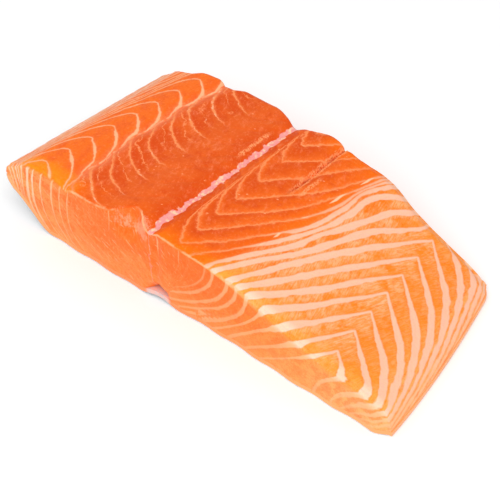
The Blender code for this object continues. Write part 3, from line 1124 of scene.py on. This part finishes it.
def smallMarks(at, colour):  # torn fibres over the nick, flecks of fat, and the rim's pale line
    ragged = turned(at.place, -20, (1.2, 1.2, 0.4))
    ragged = times(centred(ragged, 0.9, 5.0, 0.75), 1.6)
    fuzz = ramp(calc("ADD", at.torn, ragged), 0.3, 0.7, 0.0, 0.8)
    colour = tint(times(fuzz, ramp(at.torn, 0.02, 0.1)), colour, "fuzz")

    spots = addNode("ShaderNodeTexVoronoi")
    plug(turned(at.place, 25, (0.5, 0.9, 0.9)), spots.inputs["Vector"])
    spots.inputs["Scale"].default_value = 1.0
    chosen = addNode("ShaderNodeSeparateColor")
    plug(spots.outputs["Color"], chosen.inputs[0])
    fleck = times(
        ramp(spots.outputs["Distance"], 0.1, 0.2, 1.0, 0.0),
        ramp(chosen.outputs[0], 0.88, 0.9), at.inRed, 0.8,
    )
    colour = tint(fleck, colour, "fleck")

    line = calc("ABSOLUTE", calc("MULTIPLY_ADD", at.jitter, 0.7, at.rim))
    line = times(
        ramp(line, 0.15, 0.6, 0.75, 0.0), at.offCut, ramp(at.step, -1, 2),
        ramp(at.across, 0.62, 0.7, 1.0, 0.0),
        ramp(noiseOf(at.place, 0.4, 2.0), 0.35, 0.6, 0.3, 1.0),
    )
    return tint(line, colour, "rimLine")


def meatGrain(at, fat, colour):  # fine dark and pale grain, weaker on the fat
    grain = noiseOf(at.place, 1.3, 5.0, 0.75)
    dark = times(ramp(grain, 0.5, 0.7), ramp(fat, 0, 1, 0.42, 0.1))
    colour = tint(dark, colour, "grainDark")
    pale = times(
        ramp(grain, 0.3, 0.48, 1.0, 0.0), ramp(fat, 0, 1, 0.3, 0.15),
        ramp(times(at.onCut, at.step), 10, 30, 1.0, 0.4),
    )
    return tint(pale, colour, "grainPale")


def fleshLook():
    look, shader = startLook("salmonFlesh")
    at = fleshMeasures()
    sets = seamSets(at)
    top = colourRamp(at.step, *flesh["stepRange"], flesh["topStops"])
    cut = placeGroup(cutMeat, Step=at.step).outputs["Colour"]
    colour = blendColour(at.onCut, top, cut)
    colour = redMeat(at, sets, colour)
    colour = backAndCutMeat(at, colour)
    colour = bellyFibres(at, sets, colour)
    colour = glowAtRims(at, colour)
    colour = besideSeams(at, sets, colour)
    ticks = seamTicks(at, sets)
    fat = fatShare(at, sets, ticks)
    colour = blendColour(fat, colour, fatTone(at, ticks))
    colour = marginAndBand(at, colour)
    colour = crackAndShreds(at, colour)
    colour = smallMarks(at, colour)
    colour = meatGrain(at, fat, colour)

    plug(colour, shader.inputs["Base Color"])
    sheen = placeGroup(moistSheen, Place=at.place, Size=0.8, Low=0.34, High=0.5)
    plug(sheen.outputs["Roughness"], shader.inputs["Roughness"])
    height = calc("MULTIPLY_ADD", fat, 0.6, noiseOf(at.place, 1.6, 4.0, 0.6))
    addBump(shader, height, flesh["bumpHeight"])
    shader.inputs["Subsurface Weight"].default_value = flesh["translucency"]
    shader.inputs["Subsurface Radius"].default_value = flesh["lightReach"]
    shader.inputs["Subsurface Scale"].default_value = flesh["lightDepth"]
    shader.inputs["Specular IOR Level"].default_value = flesh["gloss"]
    return look


fleshPiece = buildFlesh(fleshLook())
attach(fleshPiece, "root")
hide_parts("flesh")
print("flesh:", len(fleshPiece.data.polygons), "faces")


skin = {
    "cells": (280, 130),
    "layers": 2,
    "thick": 1.5,
    "wrap": 0.12,
    "crowding": 1.5,
    "rowCrowding": 0.3,
    "plainEdge": 0.02,  # share of its length and width that stays without scales
    "cutDepth": 20.0,  # how far below the rim its cut edges lie
    "scaleSize": (2.8, 3.4),  # around the fish, along it
    "scaleRise": 0.14,
    "bumpHeight": 0.0001,
    "shine": 0.45,
    "dark": (74, 80, 90),
    "silver": (178, 182, 188),
    "white": (226, 222, 218),
    "scaleEdge": (96, 99, 106),
    # painted sheen
    "gleam": (238, 236, 238),
    "spot": (34, 36, 42),
    "cutEdge": (255, 158, 92),
    "inner": (236, 186, 172),
    "innerPale": (214, 190, 188),
}


def scaleRelief(x, y):  # 0 at the middle of a scale, 1 at its free edge, each over the next row
    wide, long = skin["scaleSize"]
    row = np.floor(y / (long / 2))
    relief = 0 * x + 1
    for k in (-1, 0, 1):
        middle = (row + k + 0.5) * long / 2
        shift = ((row + k) % 2) * 0.5
        sideways = ((x / wide + shift + 0.5) % 1 - 0.5) * wide
        away = np.hypot(sideways / (wide * 0.56), (y - middle) / (long * 0.56))
        relief = np.where(away < 1, away ** 2, relief)
    return relief


def skinLine(u, y, along):
    left = backEdge(along)
    turnX = left + portion["noseTuck"]
    turnZ = underHeight(turnX, y, along)
    wrapZ = mix(portion["noseHeight"], turnZ, u / skin["wrap"])
    wrapX = left + noseInset(wrapZ) * portion["noseTuck"] / noseInset(turnZ)
    share = np.clip((u - skin["wrap"]) / (1 - skin["wrap"]), 0, 1)
    x = mix(turnX, bellyEdge(along), share ** skin["crowding"])
    onWrap = u < skin["wrap"]
    return np.where(onWrap, wrapX, x), np.where(onWrap, wrapZ, underHeight(x, y, along))


def buildSkin(look):
    mesh = block(skin["cells"], skin["layers"], 1)
    u, v, h = pointsOf(mesh)
    along = crowd(v, skin["rowCrowding"])
    left = backEdge(along)
    across = (skinLine(u, 0 * u, along)[0] - left) / (bellyEdge(along) - left)
    y = betweenCuts(across, along, 0 * h)
    x, z = skinLine(u, y, along)
    y = y + lowerWave(x, y, z)
    x, z = skinLine(u, y, along)
    beforeX, beforeZ = skinLine(np.maximum(u - 0.01, 0), y, along)
    afterX, afterZ = skinLine(np.minimum(u + 0.01, 1), y, along)
    run, drop = afterX - beforeX, beforeZ - afterZ
    inward = h * skin["thick"] / np.hypot(run, drop)
    relief = scaleRelief(x, y)
    away = smooth(np.minimum(v, 1 - v) / skin["plainEdge"])
    away = away * smooth(np.minimum(u, 1 - u) / skin["plainEdge"])
    inward = inward + (h < 0.1) * skin["scaleRise"] * relief * away / np.hypot(run, drop)
    movePoints(mesh, x + drop * inward, y, z + run * inward)
    bmesh.ops.recalc_face_normals(mesh, faces=mesh.faces)
    piece = makePiece("skinFine", mesh, look)
    storeValues(piece, "skinPlace", u, v, h)
    storeValues(piece, "skinStep", stepOffset(x + drift(x, skin["cutDepth"]), y), relief)
    return piece


def skinLook():
    look, shader = startLook("salmonSkin")
    place = millimetres()
    spread, along, inward = partsOf(attributeOf("skinPlace"))
    step, relief = partsOf(attributeOf("skinStep"))[:2]

    def shade(share, colour, name):
        return blendColour(share, colour, paint(*skin[name]))

    # outer side: dark back, silver flank, white belly, each scale with its own painted sheen
    around = calc("MULTIPLY_ADD", centred(place, 0.12, 3.0), 0.25, spread)
    outer = shade(ramp(around, 0.14, 0.42), paint(*skin["dark"]), "silver")
    outer = shade(ramp(around, 0.55, 0.95), outer, "white")
    outer = shade(ramp(relief, 0.55, 0.95, 0.0, 0.7), outer, "scaleEdge")
    outer = shade(ramp(noiseOf(place, 0.35, 3.0), 0.4, 0.7, 0.0, 0.35), outer, "gleam")
    spots = ramp(noiseOf(place, 0.16, 1.0), 0.68, 0.71)
    outer = shade(times(spots, ramp(around, 0.2, 0.45, 0.8, 0.0)), outer, "spot")

    # cut edges take the colour of the flesh beside them, the bare inner side at the notch is pink
    meat = shade(0.55, placeGroup(cutMeat, Step=step).outputs["Colour"], "cutEdge")
    cutEdge = calc("MAXIMUM", ramp(inward, 0.03, 0.08), ramp(spread, 0.997, 0.999))
    colour = blendColour(cutEdge, outer, meat)
    fromNotch = calc("ABSOLUTE", calc("ADD", partsOf(place)[0], -portion["notch"][0]))
    bare = times(ramp(fromNotch, 2.8, 4.5, 1.0, 0.0), cutEdge, ramp(along, 0.1, 0.2, 1.0, 0.0))
    inner = ramp(noiseOf(place, 0.7, 4.0), 0.4, 0.6)
    inner = shade(inner, paint(*skin["inner"]), "innerPale")
    plug(blendColour(bare, colour, inner), shader.inputs["Base Color"])
    plug(times(rest(cutEdge), skin["shine"]), shader.inputs["Metallic"])
    sheen = placeGroup(moistSheen, Place=place, Size=1.2, Low=0.26, High=0.44)
    plug(sheen.outputs["Roughness"], shader.inputs["Roughness"])
    rings = noiseOf(scaled(place, (1.0, 3.0, 1.0)), 1.6, 3.0, 0.6)
    addBump(shader, calc("MULTIPLY_ADD", relief, 0.8, rings), skin["bumpHeight"])
    return look


skinPiece = buildSkin(skinLook())
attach(skinPiece, "root")
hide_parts("skin")
print("skin:", len(skinPiece.data.polygons), "faces")


studio = {
    "azimuth": 39.0,
    "elevation": 45.0,
    "distance": 0.4,
    "lens": 110.0,
    "lookAt": (0.0035, -0.00713, 0.010),
    "worldStrength": 0.6,
    "floorSize": 2.0,
    "floorDrop": 0.0003,
    # azimuth, elevation, distance, size, watts
    "keyLight": (35, 55, 1.0, 0.8, 6.6),
    "fillLight": (-60, 40, 1.2, 1.0, 1.5),
}


def directionOf(azimuth, elevation):
    a, e = math.radians(azimuth), math.radians(elevation)
    return Vector((math.sin(a) * math.cos(e), -math.cos(a) * math.cos(e), math.sin(e)))


def addLight(name):
    azimuth, elevation, distance, size, power = studio[name]
    data = bpy.data.lights.new(name, "AREA")
    data.size = size
    data.energy = power
    lamp = bpy.data.objects.new(name, data)
    bpy.context.scene.collection.objects.link(lamp)
    away = directionOf(azimuth, elevation)
    lamp.location = away * distance
    lamp.rotation_euler = away.to_track_quat("Z", "Y").to_euler()


def buildStudio():
    scene = bpy.context.scene
    scene.view_settings.view_transform = "Standard"
    world = bpy.data.worlds.new("studio")
    world.use_nodes = True
    sky = world.node_tree.nodes["Background"]
    sky.inputs["Color"].default_value = (1, 1, 1, 1)
    sky.inputs["Strength"].default_value = studio["worldStrength"]
    scene.world = world

    mesh = bmesh.new()
    bmesh.ops.create_grid(mesh, x_segments=1, y_segments=1, size=studio["floorSize"])
    bmesh.ops.translate(mesh, verts=mesh.verts, vec=(0, 0, -studio["floorDrop"]))
    data = bpy.data.meshes.new("floor")
    mesh.to_mesh(data)
    mesh.free()
    paper, shader = startLook("floorPaper")
    shader.inputs["Base Color"].default_value = (1.0, 1.0, 1.0, 1)
    shader.inputs["Roughness"].default_value = 0.9
    data.materials.append(paper)
    floor = bpy.data.objects.new("floor", data)
    scene.collection.objects.link(floor)

    addLight("keyLight")
    addLight("fillLight")

    camera = bpy.data.objects.new("camera", bpy.data.cameras.new("camera"))
    scene.collection.objects.link(camera)
    camera.data.lens = studio["lens"]
    camera.data.sensor_width = 36.0
    away = directionOf(studio["azimuth"], studio["elevation"])
    camera.location = Vector(studio["lookAt"]) + away * studio["distance"]
    camera.rotation_euler = away.to_track_quat("Z", "Y").to_euler()
    camera.data.clip_start = 0.01
    scene.camera = camera


buildStudio()
print("studio ready")
